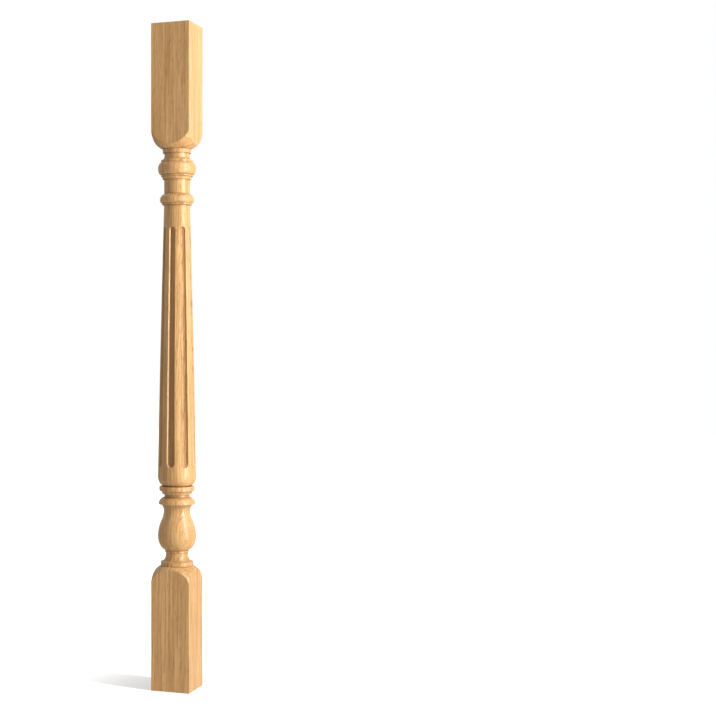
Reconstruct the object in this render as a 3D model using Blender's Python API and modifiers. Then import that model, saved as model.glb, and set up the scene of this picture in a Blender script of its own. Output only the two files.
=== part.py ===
"""A fluted stair baluster, turned from one square oak blank that stays square at both ends.

Metres, +Z up. The origin is the centre of the underside, and the flat faces look along X and Y.
"""
import math

import bmesh
import bpy
import numpy

# Blank
HEIGHT = 0.900
BLOCK_SIDE = 0.0545
TOP_BLOCK_LENGTH = 0.1468
BOTTOM_BLOCK_LENGTH = 0.1475

# Rounded shoulders, where the square blank runs down into the turned part
TOP_SHOULDER_DROP = 0.0217
BOTTOM_SHOULDER_DROP = 0.0197
TOP_SHOULDER_RISE = 0.0026
BOTTOM_SHOULDER_RISE = 0.0024

# Collar and hollow under the top shoulder
COLLAR_RADIUS = 0.0194
COLLAR_LENGTH = 0.0053
TOP_HOLLOW_RADIUS = 0.0171
TOP_HOLLOW_STRAIGHT = 0.0042
TOP_HOLLOW_FLARE = 0.0052

# Torus between two fillets, with a cavetto under it
TORUS_RADIUS = 0.0258
TORUS_LENGTH = 0.0162
TORUS_FILLET_RADIUS = 0.0217
UPPER_FILLET_LENGTH = 0.0036
LOWER_FILLET_LENGTH = 0.0024
TOP_CAVETTO_RADIUS = 0.0212
TOP_CAVETTO_FOOT_RADIUS = 0.0194
TOP_CAVETTO_LENGTH = 0.0042

# Neck, and the bead that closes it
NECK_RADIUS = 0.0175
NECK_LENGTH = 0.0196
BEAD_RADIUS = 0.0233
BEAD_TOP_LENGTH = 0.0083
BEAD_TOP_RISE = 0.0016
BEAD_FOOT_RADIUS = 0.0210
BEAD_FOOT_LENGTH = 0.0041
BEAD_FILLET_RADIUS = 0.0203
BEAD_FILLET_LENGTH = 0.0025

# Shaft, widening downward with a faint swell, and rounded in at its foot
SHAFT_TOP_RADIUS = 0.0176
SHAFT_WIDEST_RADIUS = 0.0260
SHAFT_SWELL = 0.0004
FOOT_RADIUS = 0.0193
FOOT_LENGTH = 0.0126
FOOT_TURN = math.radians(68)

# Quirk, a narrow groove that parts the shaft from the disc
QUIRK_RADIUS = 0.0188
QUIRK_WIDTH = 0.0004

# Disc, its cavetto and the waist under it
DISC_RADIUS = 0.0240
DISC_LENGTH = 0.0061
DISC_TOP_ROUND = 0.0014
DISC_FOOT_ROUND = 0.0006
CAVETTO_RADIUS = 0.0224
CAVETTO_FOOT_RADIUS = 0.0197
CAVETTO_LENGTH = 0.0048
CAVETTO_HOLLOW = 0.0004
WAIST_RADIUS = 0.0170
WAIST_LENGTH = 0.0036

# Thumb moulding: an upper curve that ends in a thin rounded lip
THUMB_RADIUS = 0.0250
THUMB_LENGTH = 0.0090
THUMB_RISE = 0.0020
LIP_ROUND = 0.0010

# Vase: a hollow neck that turns into a full belly
VASE_TOP_RADIUS = 0.0222
VASE_NECK_RADIUS = 0.0180
VASE_NECK_DROP = 0.0086
BELLY_RADIUS = 0.0259
VASE_SWELL_DROP = 0.0121
BELLY_DROP = 0.0224
BELLY_FOOT_LENGTH = 0.0190
BELLY_FOOT_TURN = math.radians(77)

# Fillet, scotia and ring under the vase
VASE_FILLET_RADIUS = 0.0161
VASE_FILLET_LENGTH = 0.0030
SCOTIA_RADIUS = 0.01505
SCOTIA_STRAIGHT = 0.0019
SCOTIA_FLARE = 0.0104
RING_RADIUS = 0.0220
RING_LENGTH = 0.0055
RING_ROUND = 0.0005

# Flutes: width and depth at the shaft's widest point, which both shrink as the shaft narrows
FLUTE_COUNT = 8
FLUTE_WIDTH = 0.0115
FLUTE_DEPTH = 0.0047
FLUTE_TOP_GAP = 0.0300
FLUTE_FOOT_GAP = 0.0130

# How closely flat steps follow round stretches
TURN_SEGMENTS = 40
CURVE_ERROR = 0.0001
SHARP_ANGLE = math.radians(32)
MERGE_DISTANCE = 0.00001

# How far the turned shape runs past the blank that it is taken from
OVERRUN = 0.004

OAK_COLOUR = (0.58, 0.37, 0.18, 1.0)
OAK_ROUGHNESS = 0.45


def steps_along(turn, radius):
    """How many straight steps follow a curve of this radius as it turns by an angle."""
    step_angle = 2 * math.acos(1 - min(CURVE_ERROR / radius, 1))
    return max(2, math.ceil(turn / step_angle))


class Outline:
    """A pen that draws one side of a turned shape from the top down, as radius and height."""

    def __init__(self, radius):
        self.points = [(radius, 0.0)]

    def line(self, radius, drop=0.0):
        """A ledge, a cylinder or a cone."""
        height = self.points[-1][1]
        self.points.append((radius, height - drop))

    def arc(self, radius, drop, rise):
        """A circular arc that stands proud of its chord by the rise, or hollow if it is negative."""
        start_radius, start_height = self.points[-1]
        widening = radius - start_radius
        chord = math.hypot(widening, drop)
        half_turn = 2 * math.atan(2 * rise / chord)
        arc_radius = chord / (2 * math.sin(half_turn))
        steps = steps_along(2 * abs(half_turn), abs(arc_radius))
        for step in range(1, steps + 1):
            angle = half_turn * (2 * step / steps - 1)
            along = arc_radius * (math.sin(angle) + math.sin(half_turn)) / chord
            proud = arc_radius * (math.cos(angle) - math.cos(half_turn)) / chord
            self.points.append((
                start_radius + along * widening + proud * drop,
                start_height - along * drop + proud * widening,
            ))

    def quarter_round(self, radius):
        """A rounded edge, from a ledge above to an upright below or the other way round."""
        width = abs(radius - self.points[-1][0])
        self.arc(radius, width, width * (1 - 1 / math.sqrt(2)))

    def upright_arc(self, radius, drop, side):
        """A circular arc that runs upright at one end: side 1 is proud of the chord, -1 hollow."""
        widening = abs(radius - self.points[-1][0])
        half_turn = math.atan(widening / drop)
        rise = side * math.hypot(widening, drop) / 2 * math.tan(half_turn / 2)
        self.arc(radius, drop, rise)

    def oval(self, radius, drop, turn=math.pi / 2):
        """Part of an oval that leaves upright and turns by an angle on its way to a radius."""
        start_radius, start_height = self.points[-1]
        width = (radius - start_radius) / (1 - math.cos(turn))
        height = drop / math.sin(turn)
        steps = steps_along(turn, (abs(width) + height) / 2)
        for step in range(1, steps + 1):
            angle = turn * step / steps
            self.points.append((
                start_radius + width * (1 - math.cos(angle)),
                start_height - height * math.sin(angle),
            ))

    def bulge(self, depth, drop):
        """Half an oval that stands proud between two points one above the other."""
        start_radius, start_height = self.points[-1]
        steps = steps_along(math.pi, (depth + drop / 2) / 2)
        for step in range(1, steps + 1):
            angle = math.pi * step / steps
            self.points.append((
                start_radius + depth * math.sin(angle),
                start_height - drop / 2 * (1 - math.cos(angle)),
            ))

    def length(self):
        """How far the outline has come down."""
        return self.points[0][1] - self.points[-1][1]

    def placed(self, top):
        """The outline's points with its start at a height."""
        return [(radius, top + height) for radius, height in self.points]


def corner_radius():
    """The distance from the axis to the corners of the square blank."""
    return BLOCK_SIDE / math.sqrt(2)


def draw_cap():
    """From the corners of the top block down to the top of the shaft."""
    pen = Outline(corner_radius())
    pen.arc(COLLAR_RADIUS, TOP_SHOULDER_DROP, TOP_SHOULDER_RISE)
    pen.line(COLLAR_RADIUS, COLLAR_LENGTH)
    pen.line(TOP_HOLLOW_RADIUS)
    pen.line(TOP_HOLLOW_RADIUS, TOP_HOLLOW_STRAIGHT)
    pen.oval(TORUS_FILLET_RADIUS, TOP_HOLLOW_FLARE)
    pen.line(TORUS_FILLET_RADIUS, UPPER_FILLET_LENGTH)
    pen.bulge(TORUS_RADIUS - TORUS_FILLET_RADIUS, TORUS_LENGTH)
    pen.line(TORUS_FILLET_RADIUS, LOWER_FILLET_LENGTH)
    pen.line(TOP_CAVETTO_RADIUS)
    pen.arc(TOP_CAVETTO_FOOT_RADIUS, TOP_CAVETTO_LENGTH, -CAVETTO_HOLLOW)
    pen.line(NECK_RADIUS)
    pen.line(NECK_RADIUS, NECK_LENGTH)
    pen.arc(BEAD_RADIUS, BEAD_TOP_LENGTH, BEAD_TOP_RISE)
    pen.upright_arc(BEAD_FOOT_RADIUS, BEAD_FOOT_LENGTH, 1)
    pen.line(BEAD_FILLET_RADIUS)
    pen.line(BEAD_FILLET_RADIUS, BEAD_FILLET_LENGTH)
    pen.line(SHAFT_TOP_RADIUS)
    return pen


def draw_disc(pen):
    """The disc with its rounded edges, then the cavetto and the waist."""
    pen.line(DISC_RADIUS - DISC_TOP_ROUND)
    pen.quarter_round(DISC_RADIUS)
    pen.line(DISC_RADIUS, DISC_LENGTH - DISC_TOP_ROUND - DISC_FOOT_ROUND)
    pen.quarter_round(DISC_RADIUS - DISC_FOOT_ROUND)
    pen.line(CAVETTO_RADIUS)
    pen.arc(CAVETTO_FOOT_RADIUS, CAVETTO_LENGTH, -CAVETTO_HOLLOW)
    pen.line(WAIST_RADIUS)
    pen.line(WAIST_RADIUS, WAIST_LENGTH)


def draw_vase(pen):
    """The thumb moulding, the vase's neck and belly, and the fillet that it stands on."""
    pen.arc(THUMB_RADIUS, THUMB_LENGTH, THUMB_RISE)
    pen.quarter_round(THUMB_RADIUS - LIP_ROUND)
    pen.line(VASE_TOP_RADIUS)
    pen.upright_arc(VASE_NECK_RADIUS, VASE_NECK_DROP, -1)
    swell_share = VASE_SWELL_DROP / (VASE_SWELL_DROP + BELLY_DROP)
    swell_radius = VASE_NECK_RADIUS + swell_share * (BELLY_RADIUS - VASE_NECK_RADIUS)
    pen.upright_arc(swell_radius, VASE_SWELL_DROP, -1)
    pen.upright_arc(BELLY_RADIUS, BELLY_DROP, 1)
    pen.oval(VASE_FILLET_RADIUS, BELLY_FOOT_LENGTH, BELLY_FOOT_TURN)
    pen.line(VASE_FILLET_RADIUS, VASE_FILLET_LENGTH)


def draw_base():
    """From the widest point of the shaft down to the corners of the bottom block."""
    pen = Outline(SHAFT_WIDEST_RADIUS)
    pen.oval(FOOT_RADIUS, FOOT_LENGTH, FOOT_TURN)
    pen.line(QUIRK_RADIUS)
    pen.line(QUIRK_RADIUS, QUIRK_WIDTH)
    draw_disc(pen)
    draw_vase(pen)
    pen.line(SCOTIA_RADIUS)
    pen.line(SCOTIA_RADIUS, SCOTIA_STRAIGHT)
    pen.oval(RING_RADIUS - RING_ROUND, SCOTIA_FLARE)
    pen.quarter_round(RING_RADIUS)
    pen.line(RING_RADIUS, RING_LENGTH - RING_ROUND)
    pen.arc(corner_radius(), BOTTOM_SHOULDER_DROP, BOTTOM_SHOULDER_RISE)
    return pen


def shaft_ends():
    """The heights of the shaft's top and of its widest point."""
    top = HEIGHT - TOP_BLOCK_LENGTH - draw_cap().length()
    foot = BOTTOM_BLOCK_LENGTH + draw_base().length()
    return top, foot


def draw_shaft():
    """The long taper between the cap and the base, with its faint swell."""
    top, foot = shaft_ends()
    pen = Outline(SHAFT_TOP_RADIUS)
    pen.arc(SHAFT_WIDEST_RADIUS, top - foot, SHAFT_SWELL)
    return pen.placed(top)


def shaft_radius_at(height):
    """The shaft's radius at a height."""
    radii, heights = zip(*reversed(draw_shaft()))
    return float(numpy.interp(height, heights, radii))


def run_on(before, edge):
    """A point straight on from the end of an outline, clear of the blank's corners."""
    slope = (edge[1] - before[1]) / (edge[0] - before[0])
    return edge[0] + OVERRUN, edge[1] + OVERRUN * slope


def draw_turning():
    """The whole turned outline, closed on the axis above and below the blank."""
    cap = draw_cap().placed(HEIGHT - TOP_BLOCK_LENGTH)
    base = draw_base().placed(shaft_ends()[1])
    outer_radius = corner_radius() + OVERRUN
    return [
        (0.0, HEIGHT + OVERRUN),
        (outer_radius, HEIGHT + OVERRUN),
        run_on(cap[1], cap[0]),
        *cap,
        *draw_shaft()[1:-1],
        *base,
        run_on(base[-2], base[-1]),
        (outer_radius, -OVERRUN),
        (0.0, -OVERRUN),
    ]


def add_object(name, data, collection):
    """Link a new object into a collection."""
    thing = bpy.data.objects.new(name, data)
    collection.objects.link(thing)
    return thing


def hide_guide(guide):
    """Show a guide or cutter as wires, and keep it out of renders."""
    guide.hide_render = True
    guide.display_type = "WIRE"


def add_blank(collection):
    """The square blank, standing on the origin."""
    shape = bmesh.new()
    bmesh.ops.create_cube(shape, size=1.0)
    bmesh.ops.scale(shape, vec=(BLOCK_SIDE, BLOCK_SIDE, HEIGHT), verts=shape.verts)
    bmesh.ops.translate(shape, vec=(0, 0, HEIGHT / 2), verts=shape.verts)
    mesh = bpy.data.meshes.new("baluster")
    shape.to_mesh(mesh)
    shape.free()
    return add_object("baluster", mesh, collection)


def add_turning(collection):
    """The turned shape that the blank is brought down to: an outline swept about the axis."""
    outline = draw_turning()
    mesh = bpy.data.meshes.new("turning")
    points = [(radius, 0, height) for radius, height in outline]
    edges = [(index, index + 1) for index in range(len(points) - 1)]
    mesh.from_pydata(points, edges, [])
    turning = add_object("turning", mesh, collection)
    sweep = turning.modifiers.new("Sweep", "SCREW")
    sweep.axis = "Z"
    sweep.steps = TURN_SEGMENTS
    sweep.render_steps = TURN_SEGMENTS
    sweep.use_merge_vertices = True
    sweep.merge_threshold = MERGE_DISTANCE
    hide_guide(turning)
    return turning


def flute_shares():
    """The cutter's distance from the axis, its radius and its reach to a flute's tip.

    All three are shares of the shaft's radius, so that the flutes narrow with the shaft.
    """
    half_width = FLUTE_WIDTH / 2 / SHAFT_WIDEST_RADIUS
    depth = FLUTE_DEPTH / SHAFT_WIDEST_RADIUS
    hollow = depth - (1 - math.sqrt(1 - half_width ** 2))
    radius = (half_width ** 2 + hollow ** 2) / (2 * hollow)
    distance = 1 - depth + radius
    reach = math.sqrt(radius ** 2 - (distance - 1) ** 2)
    return distance, radius, reach


def flute_end(tip, direction):
    """The cutter's rounded end, from its tip inward, as distance, height and radius."""
    distance, radius, reach = flute_shares()
    shaft_radius = shaft_radius_at(tip)
    centre = tip - direction * reach * shaft_radius
    steps = steps_along(math.pi / 2, radius * shaft_radius)
    stations = []
    for step in range(steps):
        angle = math.pi / 2 * (step + 0.5) / steps
        height = centre + direction * radius * shaft_radius * math.cos(angle)
        stations.append((distance * shaft_radius, height, radius * shaft_radius * math.sin(angle)))
    return stations


def flute_path():
    """The cutter's stations from top to foot, each as distance from the axis, height and radius."""
    distance, radius, _ = flute_shares()
    top, foot = shaft_ends()
    upper = flute_end(top - FLUTE_TOP_GAP, 1)
    lower = flute_end(foot + FLUTE_FOOT_GAP, -1)
    middle = [
        (distance * shaft_radius, height, radius * shaft_radius)
        for shaft_radius, height in draw_shaft()
        if lower[-1][1] < height < upper[-1][1]
    ]
    return upper + middle + lower[::-1]


def weld(mesh):
    """Join a tube's loose caps to its wall."""
    shape = bmesh.new()
    shape.from_mesh(mesh)
    bmesh.ops.remove_doubles(shape, verts=shape.verts, dist=MERGE_DISTANCE)
    shape.to_mesh(mesh)
    shape.free()


def flute_cutter_mesh():
    """One round-nosed flute cutter: a tube whose thickness follows the shaft."""
    path = flute_path()
    thickest = max(radius for _, _, radius in path)
    curve = bpy.data.curves.new("flute", "CURVE")
    curve.dimensions = "3D"
    curve.bevel_depth = thickest
    curve.bevel_resolution = steps_along(math.pi, thickest) - 2
    curve.use_fill_caps = True
    spline = curve.splines.new("POLY")
    spline.points.add(len(path) - 1)
    for point, (distance, height, radius) in zip(spline.points, path):
        point.co = (distance, 0, height, 1)
        point.radius = radius / thickest
    guide = add_object("flute_path", curve, bpy.context.scene.collection)
    evaluated = guide.evaluated_get(bpy.context.evaluated_depsgraph_get())
    mesh = bpy.data.meshes.new_from_object(evaluated)
    bpy.data.objects.remove(guide)
    bpy.data.curves.remove(curve)
    weld(mesh)
    return mesh


def add_flute_cutters(collection):
    """Evenly spaced cutters, on the blank's face centres and corners."""
    mesh = flute_cutter_mesh()
    cutters = []
    for index in range(FLUTE_COUNT):
        cutter = add_object(f"flute_cutter_{index + 1}", mesh, collection)
        cutter.rotation_euler.z = index * 2 * math.pi / FLUTE_COUNT
        hide_guide(cutter)
        cutters.append(cutter)
    return cutters


def carve(target, cutter, operation):
    """Cut a solid with another, or keep only what they share."""
    cut = target.modifiers.new(cutter.name, "BOOLEAN")
    cut.operation = operation
    cut.solver = "EXACT"
    cut.object = cutter


def finish(target):
    """Turn the carved shape into a plain mesh, smooth over its round stretches."""
    evaluated = target.evaluated_get(bpy.context.evaluated_depsgraph_get())
    mesh = bpy.data.meshes.new_from_object(evaluated)
    target.modifiers.clear()
    target.data = mesh
    mesh.shade_smooth()
    mesh.set_sharp_from_angle(angle=SHARP_ANGLE)


def oak_material():
    """Pale oak under a satin clear lacquer."""
    material = bpy.data.materials.new("oak")
    material.use_nodes = True
    shader = material.node_tree.nodes["Principled BSDF"]
    shader.inputs["Base Color"].default_value = OAK_COLOUR
    shader.inputs["Roughness"].default_value = OAK_ROUGHNESS
    shader.inputs["Metallic"].default_value = 0.0
    return material


def main():
    for thing in list(bpy.data.objects):
        bpy.data.objects.remove(thing)
    parts = bpy.data.collections.new("baluster")
    cutters = bpy.data.collections.new("cutters")
    bpy.context.scene.collection.children.link(parts)
    bpy.context.scene.collection.children.link(cutters)

    baluster = add_blank(parts)
    carve(baluster, add_turning(cutters), "INTERSECT")
    for cutter in add_flute_cutters(cutters):
        carve(baluster, cutter, "DIFFERENCE")
    bpy.context.view_layer.update()
    finish(baluster)
    baluster.data.materials.clear()
    baluster.data.materials.append(oak_material())


main()
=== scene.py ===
# %% [markdown]
# # A fluted stair baluster in pale oak
#
# A baluster is one of the upright sticks between a stair and its handrail. This one starts as a
# square stick of oak. The turner leaves both ends square, turns the middle on a lathe, and then
# cuts eight long hollows, called flutes, into the tapered shaft.
#
# The solid model of the piece already exists, and it is loaded first as a frame that nothing here
# may move. It is flat-sided where the wood is round. So this script makes the same piece again
# with smooth curves and softened edges, puts it in the solid's place, and gives it its wood.

# %% Load the solid model as the frame
import math

import bmesh
import bpy
import numpy as np
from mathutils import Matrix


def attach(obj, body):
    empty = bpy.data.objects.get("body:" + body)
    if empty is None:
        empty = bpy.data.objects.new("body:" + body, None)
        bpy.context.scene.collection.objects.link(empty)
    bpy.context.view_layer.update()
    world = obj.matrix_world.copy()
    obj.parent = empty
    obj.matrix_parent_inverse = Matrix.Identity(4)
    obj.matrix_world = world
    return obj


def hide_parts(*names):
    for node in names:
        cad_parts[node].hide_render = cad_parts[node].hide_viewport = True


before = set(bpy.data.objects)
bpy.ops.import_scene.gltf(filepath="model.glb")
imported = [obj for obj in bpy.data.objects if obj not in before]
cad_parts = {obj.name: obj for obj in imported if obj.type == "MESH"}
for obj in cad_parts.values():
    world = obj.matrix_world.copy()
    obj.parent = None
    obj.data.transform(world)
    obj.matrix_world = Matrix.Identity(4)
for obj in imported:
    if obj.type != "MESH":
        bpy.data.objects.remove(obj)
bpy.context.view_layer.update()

# %% [markdown]
# ## The pen
#
# A turned shape is known by its outline: how far out the wood is at each height. It could be a
# long list of points, but nobody can read or change such a list. Here a pen draws it instead, one
# named moulding after another, as a turner marks out a stick: so far down, so far in, round or
# hollow. Arcs get as many steps as they need to look round from close by.

# %% A pen that draws outlines
CURVE_ERROR = 0.000015


def steps_along(turn, radius):
    """How many straight steps follow a curve of this radius as it turns by an angle."""
    step_angle = 2 * math.acos(1 - min(CURVE_ERROR / radius, 1))
    return max(2, math.ceil(turn / step_angle))


class Outline:
    """A pen that draws one side of a turned shape from the top down, as radius and height."""

    def __init__(self, radius, height):
        self.points = [(radius, height)]

    def line(self, radius, drop=0.0):
        """A ledge, a cylinder or a cone."""
        height = self.points[-1][1]
        self.points.append((radius, height - drop))

    def arc(self, radius, drop, rise):
        """A circular arc that stands proud of its chord by the rise, or hollow if it is negative."""
        start_radius, start_height = self.points[-1]
        widening = radius - start_radius
        chord = math.hypot(widening, drop)
        half_turn = 2 * math.atan(2 * rise / chord)
        arc_radius = chord / (2 * math.sin(half_turn))
        steps = steps_along(2 * abs(half_turn), abs(arc_radius))
        for step in range(1, steps + 1):
            angle = half_turn * (2 * step / steps - 1)
            along = arc_radius * (math.sin(angle) + math.sin(half_turn)) / chord
            proud = arc_radius * (math.cos(angle) - math.cos(half_turn)) / chord
            self.points.append((
                start_radius + along * widening + proud * drop,
                start_height - along * drop + proud * widening,
            ))

    def quarter_round(self, radius):
        """A rounded edge, from a ledge above to an upright below or the other way round."""
        width = abs(radius - self.points[-1][0])
        self.arc(radius, width, width * (1 - 1 / math.sqrt(2)))

    def upright_arc(self, radius, drop, side):
        """A circular arc that runs upright at one end: side 1 is proud of the chord, -1 hollow."""
        widening = abs(radius - self.points[-1][0])
        half_turn = math.atan(widening / drop)
        rise = side * math.hypot(widening, drop) / 2 * math.tan(half_turn / 2)
        self.arc(radius, drop, rise)

    def oval(self, radius, drop, turn=math.pi / 2):
        """Part of an oval that leaves upright and turns by an angle on its way to a radius."""
        start_radius, start_height = self.points[-1]
        width = (radius - start_radius) / (1 - math.cos(turn))
        height = drop / math.sin(turn)
        steps = steps_along(turn, (abs(width) + height) / 2)
        for step in range(1, steps + 1):
            angle = turn * step / steps
            self.points.append((
                start_radius + width * (1 - math.cos(angle)),
                start_height - height * math.sin(angle),
            ))

    def bulge(self, depth, drop):
        """Half an oval that stands proud between two points one above the other."""
        start_radius, start_height = self.points[-1]
        steps = steps_along(math.pi, (depth + drop / 2) / 2)
        for step in range(1, steps + 1):
            angle = math.pi * step / steps
            self.points.append((
                start_radius + depth * math.sin(angle),
                start_height - drop / 2 * (1 - math.cos(angle)),
            ))


print("a quarter turn of 10 mm radius gets", steps_along(math.pi / 2, 0.010), "steps")

# %% [markdown]
# ## The top turnings
#
# Under the top block come a rounded shoulder, a plain collar, a hollow that flares out to a torus
# (a fat round ring), a cavetto (a small hollow), a neck and a bead. The heights are given as
# drops, so that a moulding can grow without the ones below it having to be worked out again.

# %% Set the sizes of the top turnings
HEIGHT = 0.900
BLOCK_SIDE = 0.0545
TOP_BLOCK_LENGTH = 0.1468
BOTTOM_BLOCK_LENGTH = 0.1475
CORNER_RADIUS = BLOCK_SIDE / math.sqrt(2)

TOP_SHOULDER_DROP = 0.0217
TOP_SHOULDER_RISE = 0.0026
COLLAR_RADIUS = 0.0194
COLLAR_LENGTH = 0.0053
TOP_HOLLOW_RADIUS = 0.0171
TOP_HOLLOW_STRAIGHT = 0.0042
TOP_HOLLOW_FLARE = 0.0052
TORUS_RADIUS = 0.0258
TORUS_LENGTH = 0.0162
TORUS_FILLET_RADIUS = 0.0217
UPPER_FILLET_LENGTH = 0.0036
LOWER_FILLET_LENGTH = 0.0024
TOP_CAVETTO_RADIUS = 0.0212
TOP_CAVETTO_FOOT_RADIUS = 0.0194
TOP_CAVETTO_LENGTH = 0.0042
CAVETTO_HOLLOW = 0.0004
NECK_RADIUS = 0.0175
NECK_LENGTH = 0.0196
BEAD_RADIUS = 0.0233
BEAD_TOP_LENGTH = 0.0083
BEAD_TOP_RISE = 0.0016
BEAD_FOOT_RADIUS = 0.0210
BEAD_FOOT_LENGTH = 0.0041
BEAD_FILLET_RADIUS = 0.0203
BEAD_FILLET_LENGTH = 0.0025
SHAFT_TOP_RADIUS = 0.0176
print(f"{HEIGHT * 1000:.0f} mm tall, {BLOCK_SIDE * 1000:.1f} mm square at both ends")

# %% Draw the top turnings
def draw_top_shoulder():
    """The round that cuts the top block's corners away."""
    pen = Outline(CORNER_RADIUS, HEIGHT - TOP_BLOCK_LENGTH)
    pen.arc(COLLAR_RADIUS, TOP_SHOULDER_DROP, TOP_SHOULDER_RISE)
    return pen


def draw_top_turnings():
    """From the collar down to the top of the shaft."""
    pen = Outline(*draw_top_shoulder().points[-1])
    pen.line(COLLAR_RADIUS, COLLAR_LENGTH)
    pen.line(TOP_HOLLOW_RADIUS)
    pen.line(TOP_HOLLOW_RADIUS, TOP_HOLLOW_STRAIGHT)
    pen.oval(TORUS_FILLET_RADIUS, TOP_HOLLOW_FLARE)
    pen.line(TORUS_FILLET_RADIUS, UPPER_FILLET_LENGTH)
    pen.bulge(TORUS_RADIUS - TORUS_FILLET_RADIUS, TORUS_LENGTH)
    pen.line(TORUS_FILLET_RADIUS, LOWER_FILLET_LENGTH)
    pen.line(TOP_CAVETTO_RADIUS)
    pen.arc(TOP_CAVETTO_FOOT_RADIUS, TOP_CAVETTO_LENGTH, -CAVETTO_HOLLOW)
    pen.line(NECK_RADIUS)
    pen.line(NECK_RADIUS, NECK_LENGTH)
    pen.arc(BEAD_RADIUS, BEAD_TOP_LENGTH, BEAD_TOP_RISE)
    pen.upright_arc(BEAD_FOOT_RADIUS, BEAD_FOOT_LENGTH, 1)
    pen.line(BEAD_FILLET_RADIUS)
    pen.line(BEAD_FILLET_RADIUS, BEAD_FILLET_LENGTH)
    pen.line(SHAFT_TOP_RADIUS)
    return pen


top_turnings = draw_top_turnings()
shaft_top = top_turnings.points[-1][1]
print(f"top turnings: {len(top_turnings.points)} points, shaft starts at {shaft_top * 1000:.1f} mm")

# %% [markdown]
# ## The lower turnings
#
# These are the showpiece. The shaft rounds in to a narrow groove, the quirk. Under it sit a disc
# with its cavetto and a waist, a thumb moulding with a thin lip, the vase with its hollow neck and
# full belly, a fillet, a scotia (a deep hollow) and a flat ring that rests on the bottom block.
# The drawing starts at the widest point of the shaft, and its height follows from the block below.

# %% Set the sizes of the lower turnings
SHAFT_WIDEST_RADIUS = 0.0260
FOOT_RADIUS = 0.0193
FOOT_LENGTH = 0.0126
FOOT_TURN = math.radians(68)
QUIRK_RADIUS = 0.0188
QUIRK_WIDTH = 0.0004
DISC_RADIUS = 0.0240
DISC_LENGTH = 0.0061
DISC_TOP_ROUND = 0.0014
DISC_FOOT_ROUND = 0.0006
CAVETTO_RADIUS = 0.0224
CAVETTO_FOOT_RADIUS = 0.0197
CAVETTO_LENGTH = 0.0048
WAIST_RADIUS = 0.0170
WAIST_LENGTH = 0.0036
THUMB_RADIUS = 0.0250
THUMB_LENGTH = 0.0090
THUMB_RISE = 0.0020
LIP_ROUND = 0.0010
VASE_TOP_RADIUS = 0.0222
VASE_NECK_RADIUS = 0.0180
VASE_NECK_DROP = 0.0086
VASE_SWELL_DROP = 0.0121
BELLY_RADIUS = 0.0259
BELLY_DROP = 0.0224
BELLY_FOOT_LENGTH = 0.0190
BELLY_FOOT_TURN = math.radians(77)
VASE_FILLET_RADIUS = 0.0161
VASE_FILLET_LENGTH = 0.0030
SCOTIA_RADIUS = 0.01505
SCOTIA_STRAIGHT = 0.0019
SCOTIA_FLARE = 0.0104
RING_RADIUS = 0.0220
RING_LENGTH = 0.0055
RING_ROUND = 0.0005
BOTTOM_SHOULDER_DROP = 0.0197
BOTTOM_SHOULDER_RISE = 0.0024
print(f"vase: neck {VASE_NECK_RADIUS * 2000:.1f} mm across, belly {BELLY_RADIUS * 2000:.1f} mm across")

# %% Draw the lower turnings
def draw_disc(pen):
    """The disc with its rounded edges, then the cavetto and the waist."""
    pen.line(DISC_RADIUS - DISC_TOP_ROUND)
    pen.quarter_round(DISC_RADIUS)
    pen.line(DISC_RADIUS, DISC_LENGTH - DISC_TOP_ROUND - DISC_FOOT_ROUND)
    pen.quarter_round(DISC_RADIUS - DISC_FOOT_ROUND)
    pen.line(CAVETTO_RADIUS)
    pen.arc(CAVETTO_FOOT_RADIUS, CAVETTO_LENGTH, -CAVETTO_HOLLOW)
    pen.line(WAIST_RADIUS)
    pen.line(WAIST_RADIUS, WAIST_LENGTH)


def draw_vase(pen):
    """The thumb moulding, the vase's neck and belly, and the fillet that it stands on."""
    pen.arc(THUMB_RADIUS, THUMB_LENGTH, THUMB_RISE)
    pen.quarter_round(THUMB_RADIUS - LIP_ROUND)
    pen.line(VASE_TOP_RADIUS)
    pen.upright_arc(VASE_NECK_RADIUS, VASE_NECK_DROP, -1)
    swell_share = VASE_SWELL_DROP / (VASE_SWELL_DROP + BELLY_DROP)
    swell_radius = VASE_NECK_RADIUS + swell_share * (BELLY_RADIUS - VASE_NECK_RADIUS)
    pen.upright_arc(swell_radius, VASE_SWELL_DROP, -1)
    pen.upright_arc(BELLY_RADIUS, BELLY_DROP, 1)
    pen.oval(VASE_FILLET_RADIUS, BELLY_FOOT_LENGTH, BELLY_FOOT_TURN)
    pen.line(VASE_FILLET_RADIUS, VASE_FILLET_LENGTH)


def draw_lower_turnings(top):
    """From the shaft's widest point down to the foot of the ring."""
    pen = Outline(SHAFT_WIDEST_RADIUS, top)
    pen.oval(FOOT_RADIUS, FOOT_LENGTH, FOOT_TURN)
    pen.line(QUIRK_RADIUS)
    pen.line(QUIRK_RADIUS, QUIRK_WIDTH)
    draw_disc(pen)
    draw_vase(pen)
    pen.line(SCOTIA_RADIUS)
    pen.line(SCOTIA_RADIUS, SCOTIA_STRAIGHT)
    pen.oval(RING_RADIUS - RING_ROUND, SCOTIA_FLARE)
    pen.quarter_round(RING_RADIUS)
    pen.line(RING_RADIUS, RING_LENGTH - RING_ROUND)
    return pen


def draw_bottom_shoulder():
    """The round that cuts the bottom block's corners away."""
    pen = Outline(RING_RADIUS, BOTTOM_BLOCK_LENGTH + BOTTOM_SHOULDER_DROP)
    pen.arc(CORNER_RADIUS, BOTTOM_SHOULDER_DROP, BOTTOM_SHOULDER_RISE)
    return pen


drop = -draw_lower_turnings(0.0).points[-1][1]
shaft_foot = BOTTOM_BLOCK_LENGTH + BOTTOM_SHOULDER_DROP + drop
lower_turnings = draw_lower_turnings(shaft_foot)
print(f"lower turnings: {len(lower_turnings.points)} points, {drop * 1000:.1f} mm tall")

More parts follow.
